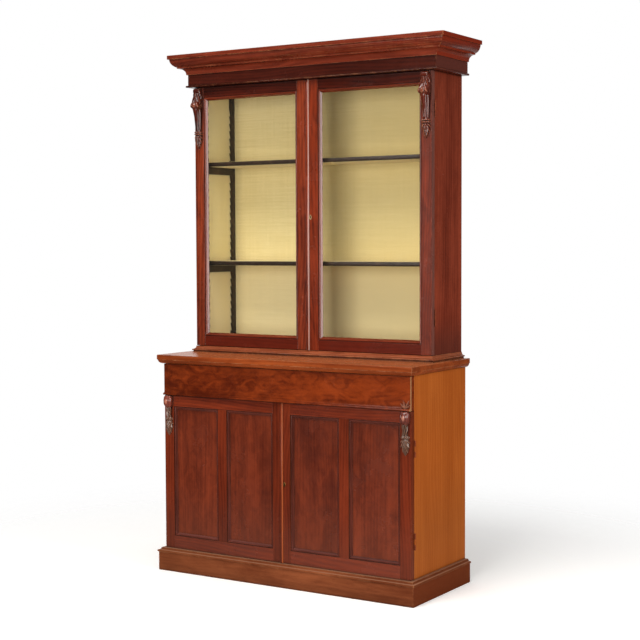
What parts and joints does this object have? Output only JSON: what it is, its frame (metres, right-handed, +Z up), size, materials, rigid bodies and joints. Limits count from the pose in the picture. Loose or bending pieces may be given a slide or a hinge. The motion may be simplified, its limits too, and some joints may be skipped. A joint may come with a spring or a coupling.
{
  "type": "bookcase with adjustable shelves",
  "caption": "Tall two-part glazed bookcase: moulded cornice, glazed doors over adjustable cloth-covered shelves on toothed racks, frieze drawer, panelled cupboard doors and plinth.",
  "frame": {"origin": "on the floor, at the middle of the plinth's and the overall box's footprint", "axes": "+Z up, -Y out of the doors, +X to the viewer's right"},
  "size_m": [1.366, 0.505, 2.254],
  "materials": {
    "mahogany": "French polished",
    "faded_mahogany": "polished, faded",
    "pine": "bare, aged",
    "dark_wood": "stained dark, satin",
    "cloth": "plain woven",
    "glass": "clear",
    "brass": "aged"
  },
  "bodies": {
    "carcass": {"plinth_boards": "mahogany", "plinth_moulding": "mahogany", "base_side_left": "faded_mahogany", "base_side_right": "faded_mahogany", "base_floor": "pine", "base_back_boards": "pine", "base_top": "mahogany", "cupboard_shelf": "pine", "drawer_support": "pine", "upper_side_left": "mahogany", "upper_side_right": "mahogany", "upper_floor": "mahogany", "upper_ceiling": "mahogany", "upper_back_boards": "pine", "upper_foot_moulding": "mahogany", "cloth_lining": "cloth", "shelf_racks": "dark_wood", "shelf_bearers": "dark_wood", "cornice_frieze": "mahogany", "cornice_crown": "mahogany", "cornice_dust_cover": "pine", "case_hinge_leaves": "brass"},
    "top_shelf": {"top_shelf_board": "pine", "top_shelf_lipping": "dark_wood"},
    "middle_shelf": {"middle_shelf_board": "pine", "middle_shelf_lipping": "dark_wood"},
    "frieze_drawer": {"drawer_front": "mahogany", "drawer_box": "pine"},
    "glazed_left_door": {"glazed_left_stiles": "mahogany", "glazed_left_rails": "mahogany", "glazed_left_glass": "glass", "glazed_left_mouldings": "mahogany", "glazed_left_corbel": "mahogany", "glazed_left_hinge_leaves": "brass", "glazed_left_bolt_case": "brass"},
    "glazed_right_door": {"glazed_right_stiles": "mahogany", "glazed_right_rails": "mahogany", "glazed_right_glass": "glass", "glazed_right_mouldings": "mahogany", "glazed_right_corbel": "mahogany", "glazed_right_hinge_leaves": "brass", "glazed_right_lock": "brass"},
    "glazed_lock_bolt": {"glazed_right_lock_bolt": "brass"},
    "glazed_door_bolt": {"glazed_left_bolt_rod": "brass"},
    "panelled_left_door": {"panelled_left_stiles": "mahogany", "panelled_left_rails": "mahogany", "panelled_left_panels": "mahogany", "panelled_left_mouldings": "mahogany", "panelled_left_corbel": "mahogany", "panelled_left_hinge_leaves": "brass", "panelled_left_bolt_case": "brass"},
    "panelled_right_door": {"panelled_right_stiles": "mahogany", "panelled_right_rails": "mahogany", "panelled_right_panels": "mahogany", "panelled_right_mouldings": "mahogany", "panelled_right_corbel": "mahogany", "panelled_right_hinge_leaves": "brass", "panelled_right_lock": "brass"},
    "panelled_lock_bolt": {"panelled_right_lock_bolt": "brass"},
    "panelled_door_bolt": {"panelled_left_bolt_rod": "brass"}
  },
  "joints": [
    {"name": "glazed_left_door_swing", "type": "hinge", "parent": "carcass", "child": "glazed_left_door", "pos_m": [-0.5947, 0.009, 1.543], "axis": [0, 0, -1], "range_deg": [0, 120]},
    {"name": "glazed_right_door_swing", "type": "hinge", "parent": "carcass", "child": "glazed_right_door", "pos_m": [0.5947, 0.009, 1.543], "axis": [0, 0, 1], "range_deg": [0, 120]},
    {"name": "panelled_left_door_swing", "type": "hinge", "parent": "carcass", "child": "panelled_left_door", "pos_m": [-0.6137, -0.198, 0.4345], "axis": [0, 0, -1], "range_deg": [0, 120]},
    {"name": "panelled_right_door_swing", "type": "hinge", "parent": "carcass", "child": "panelled_right_door", "pos_m": [0.6137, -0.198, 0.4345], "axis": [0, 0, 1], "range_deg": [0, 120]},
    {"name": "drawer_slide", "type": "slide", "parent": "carcass", "child": "frieze_drawer", "axis": [0, -1, 0], "range_m": [0, 0.33]},
    {"name": "top_shelf_lift", "type": "slide", "parent": "carcass", "child": "top_shelf", "axis": [0, 0, 1], "range_m": [0, 0.3]},
    {"name": "middle_shelf_lift", "type": "slide", "parent": "carcass", "child": "middle_shelf", "axis": [0, 0, 1], "range_m": [0, 0.36]},
    {"name": "glazed_lock_throw", "type": "slide", "parent": "glazed_right_door", "child": "glazed_lock_bolt", "axis": [-1, 0, 0], "range_m": [0, 0.008]},
    {"name": "glazed_bolt_throw", "type": "slide", "parent": "glazed_left_door", "child": "glazed_door_bolt", "axis": [0, 0, 1], "range_m": [0, 0.012]},
    {"name": "panelled_lock_throw", "type": "slide", "parent": "panelled_right_door", "child": "panelled_lock_bolt", "axis": [-1, 0, 0], "range_m": [0, 0.008]},
    {"name": "panelled_bolt_throw", "type": "slide", "parent": "panelled_left_door", "child": "panelled_door_bolt", "axis": [0, 0, 1], "range_m": [0, 0.012]}
  ]
}
